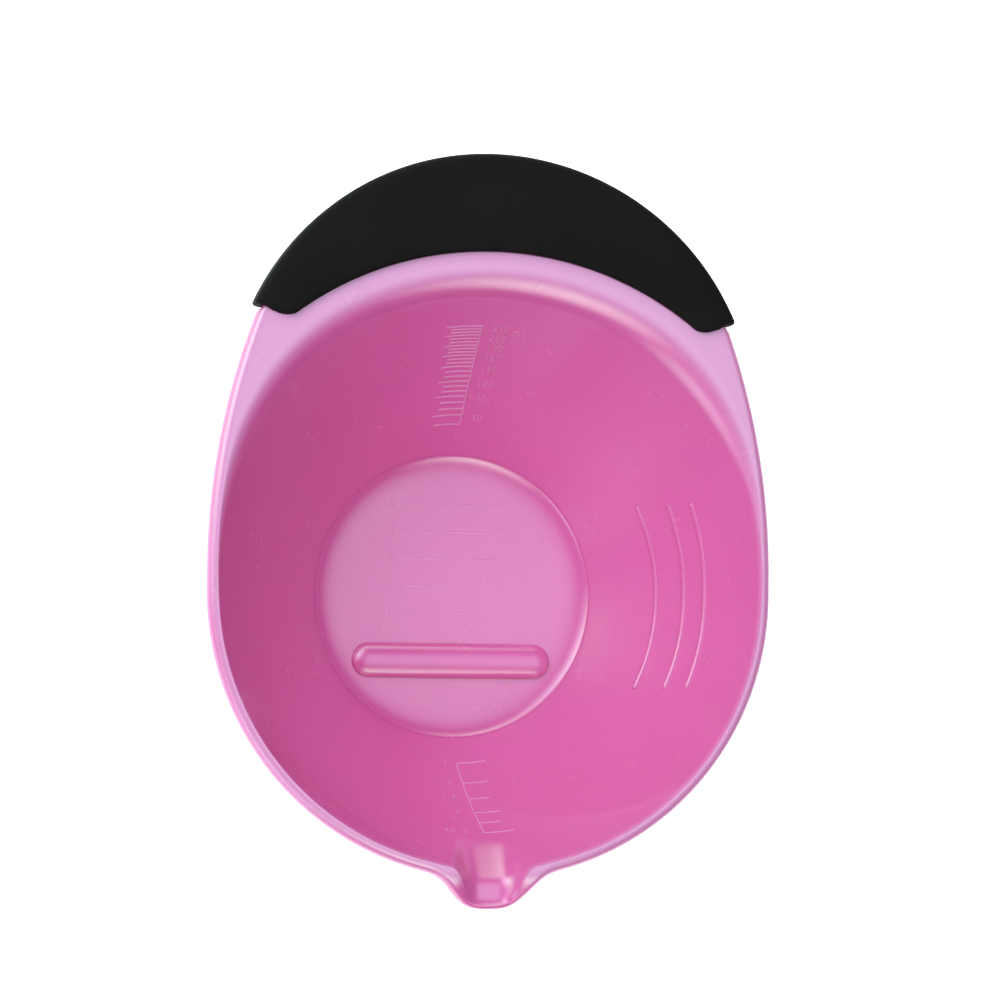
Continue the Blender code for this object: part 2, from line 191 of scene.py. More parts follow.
# Scale on the floor, numbered from the lowest line up
FLOOR_LINES = 5
FLOOR_LINE_TOP_Y = 21.5 * MM
FLOOR_LINE_STEP = 6.45 * MM
FLOOR_LINE_HALF = 12.1 * MM
FLOOR_LINE_EXTRA = 1.6 * MM
FLOOR_NUMBER_GAP = 2.4 * MM
FLOOR_NUMBER_SIZE = 3.0 * MM

# Millilitre scale on the wall: depths of the numbered ticks, and the (sideways, depth) ends of its border
ML_NUMBERS = range(250, 30, -30)
ML_DEPTHS = [depth * MM for depth in (10.4, 12.6, 15.05, 17.4, 20.0, 23.4, 26.75, 30.9)]
ML_BORDER = ((-0.6 * MM, 32.9 * MM), (-1.2 * MM, 10.4 * MM))
ML_TICK_TOP = 8.3 * MM
ML_TICK_BOTTOM = 6.9 * MM
ML_TICK_LOWEST = 6.3 * MM
ML_TICK_SHORTER = 1.3 * MM
ML_NUMBER_X_TOP = 3.2 * MM
ML_NUMBER_X_BOTTOM = 3.0 * MM
ML_NUMBER_DROP = 0.5 * MM
ML_NUMBER_SIZE = 2.1 * MM
ML_UNIT_X = 7.6 * MM
ML_UNIT_DEPTH = 11.3 * MM
ML_UNIT_SIZE = 2.4 * MM

# Ounce scale on the wall, from its lowest tick up
OZ_NUMBERS = ("1", "2", "3", "4", "", "6")
OZ_DEPTHS = [depth * MM for depth in (33.7, 28.7, 24.4, 20.3, 17.2, 13.9)]
OZ_LENGTHS = [length * MM for length in (7.0, 6.0, 5.0, 6.0, 5.0, 7.0)]
OZ_BORDER = ((0.3 * MM, 33.7 * MM), (-1.3 * MM, 13.9 * MM))
OZ_NUMBER_X = 3.1 * MM
OZ_UNIT_X = 6.6 * MM
OZ_LETTER_SIZE = 2.2 * MM

# Colours
PINK_DARK = (0.715, 0.094, 0.325)
PINK_LIGHT = (0.735, 0.104, 0.343)
# Paler pink of the rim's painted highlight, standing in for light through its thin edge
PINK_RIM_PAINTED_LIGHT = (0.745, 0.215, 0.455)
# Paler pinks of the raised lines and letters: a painted highlight for the light they catch
MARK_PAINTED_SHEEN_DARK = (0.76, 0.17, 0.43)
MARK_PAINTED_SHEEN_LIGHT = (0.80, 0.21, 0.48)
GRIP_DARK = (0.0062, 0.0042, 0.0045)
GRIP_LIGHT = (0.0085, 0.0058, 0.0062)
RING_DARK = (0.010, 0.010, 0.011)
RING_LIGHT = (0.016, 0.016, 0.017)
RUBBER_SHEEN = (1.0, 0.74, 0.80, 1.0)
FLOOR_DARK = (0.90, 0.90, 0.90)
FLOOR_LIGHT = (0.92, 0.92, 0.92)
FLOOR_GLOW = (0.86, 0.84, 0.93, 1.0)

# Studio. FADE_MEAN is the mean brightness of a softbox that fades to its edge
FLOOR_HALF = 3.0
SKY_STRENGTH = 0.05
SOFTBOX_DISTANCE = 1.2
FADE_MEAN = 0.236
CAMERA_PLACE = Vector((-0.1749, AXIS_Y - 0.0240, RIM_HEIGHT + 0.6484))
CAMERA_TURN = Vector((3.67, -15.15, 1.08))
CAMERA_LENS = 108.4
CAMERA_SENSOR = 36.0


def mix(start, end, weight):
    return start + (end - start) * weight


def smooth(low, high, value):
    """0 below low, 1 above high, and an S-shaped rise between."""
    part = min(max((value - low) / (high - low), 0.0), 1.0)
    return part * part * (3 - 2 * part)


def soft_min(a, b, blend):
    """The smaller value, with a smooth change from one to the other."""
    return min(a, b) - blend * math.log1p(math.exp(-abs(a - b) / blend))


def steps(start, end, count):
    """Count values after start, up to and including end."""
    return [mix(start, end, (i + 1) / count) for i in range(count)]


def span(start, end, count):
    """Start, then count values up to and including end."""
    return [start, *steps(start, end, count)]


def bezier(start, corner, end, count):
    """Points after start on the quadratic curve that the corner pulls."""
    points = []
    for t in steps(0.0, 1.0, count):
        a, b, c = (1 - t) ** 2, 2 * t * (1 - t), t * t
        points.append((a * start[0] + b * corner[0] + c * end[0], a * start[1] + b * corner[1] + c * end[1]))
    return points


def towards(start, end, distance):
    """The point at a distance from start on the way to end."""
    part = distance / math.dist(start, end)
    return (mix(start[0], end[0], part), mix(start[1], end[1], part))


def rounded(points, corner_round, count):
    """A polyline with each of its inner corners rounded by up to corner_round."""
    result = [points[0]]
    for before, corner, after in zip(points, points[1:], points[2:]):
        cut = min(corner_round, math.dist(before, corner) / 2.1, math.dist(corner, after) / 2.1)
        start = towards(corner, before, cut)
        result += [start, *bezier(start, corner, towards(corner, after, cut), count)]
    return [*result, points[-1]]


# Shape of the bowl


def reach(turn, centre, radius):
    """Distance from the bowl's axis to a circle, in the direction of turn."""
    along = math.sin(turn) * centre[0] - math.cos(turn) * centre[1]
    return along + math.sqrt(along ** 2 - centre[0] ** 2 - centre[1] ** 2 + radius ** 2)


def spout_bump(turn):
    """How far the outline has swung out to the spout's tip."""
    return math.exp(-(abs(turn) / SPOUT_HALF_ANGLE) ** SPOUT_SHARPNESS)


def mouth_weight(turn):
    """How far the pouring channel has cut into the wall, where it starts."""
    return math.exp(-(abs(turn) / MOUTH_HALF_ANGLE) ** MOUTH_SHARPNESS)


def channel_weight(turn):
    """How far the pouring channel has cut into the rim."""
    return math.exp(-(abs(turn) / CHANNEL_HALF_ANGLE) ** CHANNEL_SHARPNESS)


def spout_drop(radius):
    """How far the spout bends down below the rim plane."""
    return SPOUT_DROP * smooth(SPOUT_DROP_START, FRONT_RADIUS + SPOUT_LENGTH, radius)


def plain_rim(turn):
    """Plan outline of the rim without spout or handle."""
    if abs(turn) < math.pi / 2:
        return 1 / math.hypot(math.sin(turn) / RIM_RADIUS, math.cos(turn) / FRONT_RADIUS)
    side_x = RIM_RADIUS / abs(math.sin(turn))
    if -side_x * math.cos(turn) < SIDE_ARC_START_Y:
        return side_x
    centre = (math.copysign(SIDE_ARC_RADIUS - RIM_RADIUS, -turn), SIDE_ARC_START_Y)
    return reach(turn, centre, SIDE_ARC_RADIUS)


def handle_outline(turn):
    return reach(turn, (0.0, HANDLE_ARC_Y), HANDLE_ARC_RADIUS)


def is_under_grip(turn):
    return math.pi - abs(turn) < GRIP_END_ANGLE


def outline(turn):
    """Plan outline of the pink plastic, which stays inside the grip's edge where the grip covers it."""
    if is_under_grip(turn):
        return handle_outline(turn) - GRIP_SIDE
    return plain_rim(turn) + SPOUT_LENGTH * spout_bump(turn)


def arc_radius_at(height, offset):
    """Radius of the wall's arc at a height, or of the arc parallel to it at an offset."""
    run = WALL_TOP_RADIUS - DISH_RADIUS
    chord = math.hypot(run, DISH_DEPTH)
    radius = chord ** 2 / (8 * WALL_BULGE) + WALL_BULGE / 2
    back = radius - WALL_BULGE
    centre_r = (WALL_TOP_RADIUS + DISH_RADIUS) / 2 - back * DISH_DEPTH / chord
    centre_z = -DISH_DEPTH / 2 + back * run / chord
    return centre_r + math.sqrt((radius + offset) ** 2 - (height - centre_z) ** 2)


def wall(turn, height, offset=0.0):
    """Wall radius in the direction of turn, with the slim front and the flare under the handle."""
    up = max(1 + height / DISH_DEPTH, 0.0)
    slim = (min(plain_rim(turn), RIM_RADIUS) - RIM_RADIUS) * up
    rise = max(1 + (height + BACK_ROLL_DEPTH) / FLARE_HEIGHT, 0.0)
    flare = FLARE * smooth(FLARE_START, FLARE_FULL, abs(turn)) * rise ** FLARE_POWER
    return arc_radius_at(height, offset) + slim + flare


def wall_rise(turn, height):
    """Direction up the wall, as a unit (radius, height) pair."""
    small = 0.1 * MM
    run = wall(turn, height + small) - wall(turn, height - small)
    length = math.hypot(run, 2 * small)
    return run / length, 2 * small / length


def dish_rise(radius):
    """Height of the dish's floor above its flat middle: slow at first, then steep up to the crisp edge."""
    part = min(max((radius - FLAT_RADIUS) / (DISH_RADIUS - FLAT_RADIUS), 0.0), 1.0)
    full = 1 - math.sqrt(1 - DISH_STEEPNESS ** DISH_POWER)
    share = 1 - math.sqrt(1 - (DISH_STEEPNESS * part) ** DISH_POWER)
    return (FLOOR_DEPTH - DISH_DEPTH) * share / full


def dish_profile():
    """The floor, with points closer together towards the edge."""
    radii = [FLAT_RADIUS * part for part in steps(0.0, 1.0, 4)]
    radii += [mix(DISH_RADIUS, FLAT_RADIUS, (1 - part) ** DISH_CROWDING) for part in steps(0.0, 1.0, 20)]
    return [(r, dish_rise(r) - FLOOR_DEPTH) for r in radii]


def foot_profile():
    """From the outer wall's end, down round the foot and its groove, to the underside of the floor."""
    bottom = FOOT_HEIGHT - RIM_HEIGHT
    groove = RING_HEIGHT + RING_GAP - RIM_HEIGHT
    under = -(FLOOR_DEPTH + FLOOR_THICKNESS)
    corners = [
        (FOOT_RADIUS, bottom),
        (RING_OUTER_RADIUS + RING_GAP, bottom),
        (RING_OUTER_RADIUS + RING_GAP, groove),
        (RING_INNER_RADIUS - RING_GAP, groove),
        (RING_INNER_RADIUS - RING_GAP, bottom),
        (FOOT_INNER_RADIUS, bottom),
        (FOOT_INNER_RADIUS, under),
        (FOOT_INNER_RADIUS / 2, under),
        (2 * GATE_RADIUS, under),
        (GATE_RADIUS, under),
        (GATE_RADIUS * GATE_SLOPE_START, under + GATE_DEPTH),
        (GATE_RADIUS * GATE_SLOPE_END, under + GATE_DEPTH),
    ]
    return corners


def rim_section(turn):
    """Profile of the bowl in one direction, from the floor's middle over the rim to the underside."""
    back = smooth(FLARE_START, FLARE_FULL, abs(turn))
    mouth = mouth_weight(turn)
    inside = channel_weight(turn)
    outside = spout_bump(turn)
    edge = outline(turn)

    wall_end = mix(ROLL_DEPTH, BACK_ROLL_DEPTH, back)
    start_z = -mix(wall_end, CHANNEL_START_DEPTH, mouth)
    start = (wall(turn, start_z), start_z)
    edge_round = TIP_ROUND if is_under_grip(turn) else mix(RIM_ROUND, TIP_ROUND, inside)
    roll_limit = edge - edge_round - LAND_MIN
    roll_width = mix(ROLL_WIDTH, BACK_ROLL_WIDTH, back)
    roll_r = soft_min(wall(turn, -wall_end) + roll_width, roll_limit, ROLL_BLEND)
    roll_end = (mix(roll_r, CHANNEL_END_RADIUS, inside), -CHANNEL_END_DEPTH * inside)
    rise_r, rise_z = wall_rise(turn, start_z)
    pull = mix(-start_z / rise_z, CHANNEL_PULL, mouth)
    corner = (start[0] + pull * rise_r, start[1] + pull * rise_z)

    points = dish_profile()
    points += [(wall(turn, z), z) for z in steps(-DISH_DEPTH, start_z, 26)]
    edge_index = len(dish_profile()) - 1
    before = towards(points[edge_index], points[edge_index - 1], DISH_EDGE_ROUND)
    after = towards(points[edge_index], points[edge_index + 1], DISH_EDGE_ROUND)
    points[edge_index:edge_index + 1] = [before, *bezier(before, points[edge_index], after, 5)]
    rim = bezier(start, corner, roll_end, 26)
    round_start = (edge - edge_round, 0.0)
    round_end = (edge, -edge_round)
    for part in steps(0.0, 1.0, 4):
        rim.append((mix(roll_end[0], round_start[0], part), mix(roll_end[1], 0.0, part)))
    for angle in steps(0.0, math.pi / 2, 9):
        r = round_start[0] + edge_round * math.sin(angle)
        rim.append((r, round_end[1] + edge_round * math.cos(angle)))

    lip = mix(mix(RIM_LIP, FLANGE_THICKNESS, back), TIP_LIP, inside)
    under_end = edge - UNDER_INSET
    under_r = mix(min(roll_end[0] + UNDER_WIDTH, under_end), under_end, outside)
    outer_depth = mix(RIM_LIP + UNDER_HEIGHT, BACK_ROLL_DEPTH + FLANGE_THICKNESS, back)
    outer_z = -mix(outer_depth, SPOUT_UNDER_DEPTH, outside)
    outer_end = (wall(turn, outer_z, WALL_THICKNESS), outer_z)
    under_corner_z = mix(-lip, outer_z + SPOUT_UNDER_RISE, outside)
    under_corner = (outer_end[0] + (under_corner_z - outer_z) * rise_r / rise_z, under_corner_z)
    lip_edge = (edge - LIP_DRAFT, -lip)
    lip_start = towards(lip_edge, round_end, LIP_ROUND)
    lip_end = towards(lip_edge, (under_r, -lip), LIP_ROUND)
    rim += [lip_start, *bezier(lip_start, lip_edge, lip_end, 4), (under_r, -lip)]
    rim += bezier((under_r, -lip), under_corner, outer_end, 12)
    points += [(r, z - spout_drop(r) * math.sqrt(outside)) for r, z in rim]
    bottom_z = -(DISH_DEPTH + OUTER_WALL_BELOW)
    outer = [(wall(turn, z, WALL_THICKNESS), z) for z in steps(outer_z, bottom_z, 18)]
    return points + outer[:-1] + rounded([outer[-1], *foot_profile()], FOOT_ROUND, 3)[1:]


def droop(y):
    """How far the handle has dropped below the rim plane at a distance y behind the bowl's axis."""
    part = max(y - DROOP_START_Y, 0.0) / (HANDLE_ARC_Y + HANDLE_ARC_RADIUS - DROOP_START_Y)
    return HANDLE_DROOP * part ** 2


def place(turn, point):
    """World position of a (radius, height) pair."""
    y = -point[0] * math.cos(turn)
    return Vector((point[0] * math.sin(turn), y + AXIS_Y, point[1] + RIM_HEIGHT - droop(y)))


def bowl_turns():
    """Directions of the sections: close together at the spout, and a small step apart at the grip's ends."""
    before_grip = math.pi - GRIP_END_ANGLE - GRIP_END_STEP
    after_grip = math.pi - GRIP_END_ANGLE + GRIP_END_STEP
    half = steps(0.0, SPOUT_SECTOR, 40)
    half += steps(SPOUT_SECTOR, before_grip, 130)
    half += steps(after_grip, math.pi, 50)
    return sorted([0.0, *half, *[-turn for turn in half[:-1]]])


def on_wall(turn, depth):
    """Position and inward normal of the inner wall at a depth below the rim plane."""
    rise_r, rise_z = wall_rise(turn, -depth)
    position = place(turn, (wall(turn, -depth), -depth))
    normal = Vector((-rise_z * math.sin(turn), rise_z * math.cos(turn), rise_r))
    return position, normal


def on_floor(x, y):
    """Position and normal of the dish's floor, with x and y measured from the bowl's axis."""
    height = RIM_HEIGHT - FLOOR_DEPTH + dish_rise(math.hypot(x, y))
    return Vector((x, y + AXIS_Y, height)), Vector((0.0, 0.0, 1.0))


# Meshes


def skin(work, rings, round_trip):
    """Quads between neighbouring rings of vertices.

    A round trip joins each ring's last vertex to its first.
    """
    for ring, after in zip(rings, rings[1:]):
        for j in range(len(ring) if round_trip else len(ring) - 1):
            k = (j + 1) % len(ring)
            work.faces.new((ring[j], ring[k], after[k], after[j]))


def finish_mesh(name, work, material, sharp=35, replaces=None):
    """Makes an object of the mesh, shaded smooth below the sharp angle in degrees, that rides the frame."""
    bmesh.ops.recalc_face_normals(work, faces=work.faces)
    mesh = bpy.data.meshes.new(name)
    work.to_mesh(mesh)
    work.free()
    piece = bpy.data.objects.new(name, mesh)
    bpy.context.scene.collection.objects.link(piece)
    mesh.materials.append(material)
    mesh.shade_smooth()
    mesh.set_sharp_from_angle(angle=math.radians(sharp))
    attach(piece, BODY)
    if replaces:
        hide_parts(replaces)
    return piece


def add_bowl(material):
    """Loft of the sections all round the axis, closed by a fan at each pole."""
    work = bmesh.new()
    rings = [[work.verts.new(place(turn, point)) for point in rim_section(turn)] for turn in bowl_turns()]
    skin(work, [*rings, rings[0]], False)
    top = work.verts.new(place(0.0, (0.0, -FLOOR_DEPTH)))
    bottom = work.verts.new(place(0.0, (0.0, -(FLOOR_DEPTH + FLOOR_THICKNESS) + GATE_DEPTH)))
    for ring, after in zip(rings, [*rings[1:], rings[0]]):
        work.faces.new((top, ring[0], after[0]))
        work.faces.new((bottom, after[-1], ring[-1]))
    return finish_mesh("bowl_body", work, material, replaces="bowl")


def grip_rounding(distance, radius):
    """How far an edge is set back, a distance before the end of the grip, by an end corner of a radius."""
    inset = max(radius - distance, 0.0)
    return radius - math.sqrt(radius ** 2 - inset ** 2)


def grip_section(distance):
    """Skin and pocket of the grip at a distance before its end, as two rows of (share, shift, height).

    A point's radius lies that share of the way from the grip's inner edge to its outer edge, plus the shift.
    """
    inner = grip_rounding(distance, GRIP_INNER_CORNER)
    outer = -grip_rounding(distance, GRIP_OUTER_CORNER)
    lower = grip_rounding(distance, GRIP_ROUND)
    high, low = GRIP_ABOVE - lower, lower - GRIP_BELOW
    under = -FLANGE_THICKNESS - GRIP_GAP
    edge, side = GRIP_ROUND, GRIP_SIDE_ROUND
    crown_drop = GRIP_CROWN * GRIP_TOP_EDGE
    top_edge, crown_top = high - crown_drop, high - GRIP_CROWN
    top_start = inner + GRIP_TOP_START * edge
    under_start = inner + GRIP_UNDER_START * edge
    corner = GRIP_UNDER_CORNER * edge
    outer_skin = [(0.0, inner, mix(GRIP_GAP, high - edge, part)) for part in span(0.0, 1.0, 2)]
    curve = bezier((inner, high - edge), (inner, crown_top), (top_start, top_edge), 8)
    outer_skin += [(0.0, shift, z) for shift, z in curve]
    for part in steps(0.0, 1.0, 14)[:-1]:
        height = high - crown_drop * (2 * part - 1) ** 2
        outer_skin.append((part, mix(top_start, outer - side, part), height))
    curve = bezier((outer - side, top_edge), (outer, crown_top), (outer, crown_top - side), 8)
    outer_skin += [(1.0, shift, z) for shift, z in [(outer - side, top_edge), *curve]]
    outer_skin.append((1.0, outer, (high + low) / 2))
    outer_skin.append((1.0, outer, low + side))
    curve = bezier((outer, low + side), (outer, low), (outer - side, low), 8)
    outer_skin += [(1.0, shift, z) for shift, z in curve]
    outer_skin += [(part, mix(under_start, outer - side, part), low) for part in (0.75, 0.5, 0.25)]
    curve = bezier((under_start, low), (inner + corner, low), (inner, under - corner), 8)
    outer_skin += [(0.0, shift, z) for shift, z in [(under_start, low), *curve]]
    outer_skin.append((0.0, inner, under))

    pocket_end = GRIP_GAP - GRIP_SIDE
    pocket = []
    last = len(outer_skin) - 1
    for i in range(len(outer_skin)):
        along = 2 * i / last
        share = min(along, 2 - along) ** POCKET_CROWDING
        shift = mix(inner + POCKET_INSET * edge, pocket_end, share)
        pocket.append((share, shift, GRIP_GAP if along < 1 else under))
    return outer_skin, pocket


def place_on_grip(angle, point):
    """World position of a point of the grip's profile. The sections slant towards the grip's ends."""
    share, shift, z = point
    outer = handle_outline(math.pi + angle)
    from_outer = outer - mix(GRIP_INNER_RADIUS, outer, share) - shift
    slanted = angle * (1 - GRIP_END_SLANT * from_outer / (outer - GRIP_INNER_RADIUS))
    r = mix(GRIP_INNER_RADIUS, handle_outline(math.pi + slanted), share) + shift
    return place(math.pi + slanted, (r, z))


def add_grip(material):
    """Outer skin and pocket from one end to the other, closed at both ends."""
    work = bmesh.new()
    end_radius = (GRIP_INNER_RADIUS + handle_outline(math.pi - GRIP_END_ANGLE)) / 2
    near_end = [GRIP_INNER_CORNER * (1 - math.cos(angle)) for angle in span(0.0, math.pi / 2, 12)]
    stations = [(-GRIP_END_ANGLE + distance / end_radius, distance) for distance in near_end]
    inner_angle = stations[-1][0]
    stations += [(angle, GRIP_INNER_CORNER) for angle in steps(inner_angle, -inner_angle, 150)[:-1]]
    stations += [(GRIP_END_ANGLE - distance / end_radius, distance) for distance in reversed(near_end)]
    skins, pockets = [], []
    for angle, distance in stations:
        outer_skin, pocket = grip_section(distance)
        skins.append([work.verts.new(place_on_grip(angle, point)) for point in outer_skin])
        pockets.append([work.verts.new(place_on_grip(angle, point)) for point in pocket])
    skin(work, [a + b[::-1] for a, b in zip(skins, pockets)], True)
    for end in (0, -1):
        skin(work, [skins[end], pockets[end]], False)
    return finish_mesh("grip_cover", work, material, sharp=50, replaces="grip")


def add_foot_ring(material):
    """Turned profile with its edges broken and two shallow grooves in the face that it stands on."""
    inner, outer, top, edge = RING_INNER_RADIUS, RING_OUTER_RADIUS, RING_HEIGHT, RING_EDGE
    corners = [(inner, top), (outer, top), (outer, 0.0)]
    width = (outer - inner) / TREAD_SHARE
    slope, depth = TREAD_SLOPE * width, TREAD_DEPTH * width
    for start in (outer - width, outer - 3 * width):
        end = start - width
        corners += [(start, 0.0), (start - slope, depth), (end + slope, depth), (end, 0.0)]
    corners += [(inner, 0.0), (inner, top)]
    middle = ((inner + outer) / 2, top)
    profile = rounded([middle, *corners[1:], middle], edge, 4)[1:]
    work = bmesh.new()
    rings = []
    for angle in span(0.0, 2 * math.pi, 240)[:-1]:
        x, y = math.cos(angle), math.sin(angle)
        rings.append([work.verts.new((r * x, AXIS_Y + r * y, z)) for r, z in profile])
    skin(work, [*rings, rings[0]], True)
    return finish_mesh("foot_ring_rubber", work, material, replaces="foot_ring")


def stroke(work, samples, half_width, rise):
    """A raised line with rounded ends along (position, normal) samples, sunk a little into the surface."""
    first, last = samples[0][0], samples[-1][0]
    along = (last - first).length
    end_parts = [math.cos(angle) for angle in span(0.0, math.pi / 2, 4)]
    stations = []
    for i, (position, normal) in enumerate(samples):
        ahead = samples[min(i + 1, len(samples) - 1)][0] - samples[max(i - 1, 0)][0]
        stations.append((position, normal, ahead.normalized()))
    near, far = stations[0], stations[-1]
    bulge = min(half_width, along / 3)
    start = [(near[0] - near[2] * bulge * part, near[1], near[2], math.sqrt(1 - part ** 2))
             for part in end_parts]
    end = [(far[0] + far[2] * bulge * part, far[1], far[2], math.sqrt(1 - part ** 2))
           for part in reversed(end_parts)]
    inner = [(*station, 1.0) for station in stations[1:-1]]
    rings = []
    for position, normal, ahead, width in [*start, *inner, *end]:
        side = ahead.cross(normal).normalized()
        width = max(width, LINE_TIP)
        ring = []
        for angle in span(0.0, math.pi, 10):
            ring.append(position + side * half_width * width * math.cos(angle)
                        + normal * rise * width * math.sin(angle))
        ring += [ring[-1] - normal * LINE_SINK, ring[0] - normal * LINE_SINK]
        rings.append([work.verts.new(point) for point in ring])
    skin(work, rings, True)
    work.faces.new(rings[0])
    work.faces.new(rings[-1])


def add_lettering(work, text, size, surface, rise):
    """Raised text: surface(x, y) gives the position and normal for a point of the flat text."""
    curve = bpy.data.curves.new("lettering", "FONT")
    curve.body = text
    curve.size = size
    curve.space_character = LETTER_SPACING
    curve.align_x = "CENTER"
    curve.align_y = "CENTER"
    curve.extrude = 0.5
    curve.resolution_u = 3
    holder = bpy.data.objects.new("lettering", curve)
    bpy.context.scene.collection.objects.link(holder)
    bpy.context.view_layer.update()
    mesh = bpy.data.meshes.new_from_object(holder.evaluated_get(bpy.context.evaluated_depsgraph_get()))
    flat = bmesh.new()
    flat.from_mesh(mesh)
    bmesh.ops.remove_doubles(flat, verts=flat.verts, dist=WELD_DISTANCE)
    bmesh.ops.triangulate(flat, faces=flat.faces)
    copies = {}
    for vert in flat.verts:
        position, normal = surface(vert.co.x, vert.co.y)
        copies[vert] = work.verts.new(position + normal * (rise if vert.co.z > 0 else -LINE_SINK))
    for face in flat.faces:
        work.faces.new([copies[vert] for vert in face.verts])
    flat.free()
    bpy.data.objects.remove(holder)
    bpy.data.curves.remove(curve)
    bpy.data.meshes.remove(mesh)


def wall_line(start, end, count=10):
    """Samples along the wall between two (turn, depth) pairs."""
    samples = []
    for part in span(0.0, 1.0, count):
        samples.append(on_wall(mix(start[0], end[0], part), mix(start[1], end[1], part)))
    return samples


def add_ribs(material):
    """Three level ribs on the right-hand wall, for wiping a brush."""
    for number, depth in enumerate(RIB_DEPTHS, start=1):
        work = bmesh.new()
        half = math.asin(RIB_HALF_LENGTH / wall(math.pi / 2, -depth))
        samples = wall_line((math.pi / 2 - half, depth), (math.pi / 2 + half, depth), 60)
        stroke(work, samples, RIB_HALF_WIDTH, RIB_RISE)
        finish_mesh(f"wiper_rib_{number}", work, material, sharp=60)


def add_bar(material):
    """Stadium-shaped rest bar with a full round top that runs down to the floor all round."""
    half_width = BAR_WIDTH / 2
    half = BAR_LENGTH / 2 - half_width
    work = bmesh.new()
    rings = []
    profile = [(1.0, -LINE_SINK)]
    for angle in span(0.0, math.pi / 2, 16):
        profile.append((math.cos(angle) ** (2 / BAR_FULLNESS),
                        BAR_HEIGHT * math.sin(angle) ** (2 / BAR_FULLNESS)))
    for width, height in profile:
        ring = []
        for side in (1, -1):
            for angle in span(-math.pi / 2, math.pi / 2, 24):
                position, normal = on_floor(side * (half + half_width * width * math.cos(angle)),
                                            BAR_Y + side * half_width * width * math.sin(angle))
                ring.append(work.verts.new(position + normal * height))
        rings.append(ring)
    skin(work, rings, True)
    work.faces.new(rings[0])
    bmesh.ops.remove_doubles(work, verts=work.verts, dist=0.01 * MM)
    return finish_mesh("rest_bar", work, material, sharp=60)


def add_floor_scale(material):
    """Five numbered lines across the dish."""
    work = bmesh.new()
    for i in range(FLOOR_LINES):
        y = FLOOR_LINE_TOP_Y - i * FLOOR_LINE_STEP
        left = -FLOOR_LINE_HALF - (FLOOR_LINE_EXTRA if i == FLOOR_LINES - 1 else 0.0)
        samples = [on_floor(mix(left, FLOOR_LINE_HALF, part), y) for part in span(0.0, 1.0, 12)]
        stroke(work, samples, LINE_HALF_WIDTH, LINE_RISE / 2)

        def surface(x, up):
            return on_floor(x - FLOOR_LINE_HALF - FLOOR_NUMBER_GAP, y + up)

        add_lettering(work, str(FLOOR_LINES - i), FLOOR_NUMBER_SIZE, surface, LETTER_RISE)
    return finish_mesh("floor_scale", work, material, sharp=60)


def scale_turn(middle_turn, side, x, depth):
    """Direction of the point on the wall that lies x to the side of a scale's middle line."""
    return middle_turn + side * x / wall(middle_turn, -depth)


def add_wall_scale(name, middle_turn, ticks, border, letters, material):
    """A border line up the wall, with ticks on one side and numbers on the other.

    Sideways distances are measured to the right of the middle line for someone who reads the numbers.
    """
    work = bmesh.new()

    def at(x, depth):
        return scale_turn(middle_turn, -1, x, depth), depth

    (x_low, depth_low), (x_high, depth_high) = border
    stroke(work, wall_line(at(x_low, depth_low), at(x_high, depth_high), 24), LINE_HALF_WIDTH, LINE_RISE)
    for depth, length in ticks:
        x = mix(x_low, x_high, (depth_low - depth) / (depth_low - depth_high))
        stroke(work, wall_line(at(x, depth), at(x - length, depth)), LINE_HALF_WIDTH, LINE_RISE)
    for text, x_text, depth, size in letters:
        def surface(x, up):
            return on_wall(*at(x_text + x, depth - up))

        add_lettering(work, text, size, surface, LETTER_RISE)
    return finish_mesh(name, work, material, sharp=60)


def add_millilitre_scale(material):
    """On the wall below the handle: a numbered tick every 30 ml, and two shorter ones between."""
    ticks, letters = [(ML_BORDER[0][1], ML_TICK_LOWEST)], []
    for i, (number, depth) in enumerate(zip(ML_NUMBERS, ML_DEPTHS)):
        part = i / (len(ML_DEPTHS) - 1)
        length = mix(ML_TICK_TOP, ML_TICK_BOTTOM, part)
        ticks.append((depth, length))
        if i + 1 < len(ML_DEPTHS):
            for third in (1, 2):
                ticks.append((mix(depth, ML_DEPTHS[i + 1], third / 3), length - ML_TICK_SHORTER))
        x = mix(ML_NUMBER_X_TOP, ML_NUMBER_X_BOTTOM, part)
        letters.append((str(number), x, depth + ML_NUMBER_DROP, ML_NUMBER_SIZE))
    letters.append(("ml", ML_UNIT_X, ML_UNIT_DEPTH, ML_UNIT_SIZE))
    return add_wall_scale("millilitre_scale", math.pi, ticks, ML_BORDER, letters, material)


def add_ounce_scale(material):
    """On the wall next to the spout, facing the other way."""
    ticks = list(zip(OZ_DEPTHS, OZ_LENGTHS))
    letters = []
    for number, depth in zip(OZ_NUMBERS, OZ_DEPTHS):
        if number:
            letters.append((number, OZ_NUMBER_X, depth, OZ_LETTER_SIZE))
    letters.append(("oz", OZ_UNIT_X, OZ_DEPTHS[-1], OZ_LETTER_SIZE))
    return add_wall_scale("ounce_scale", 0.0, ticks, OZ_BORDER, letters, material)


# Materials


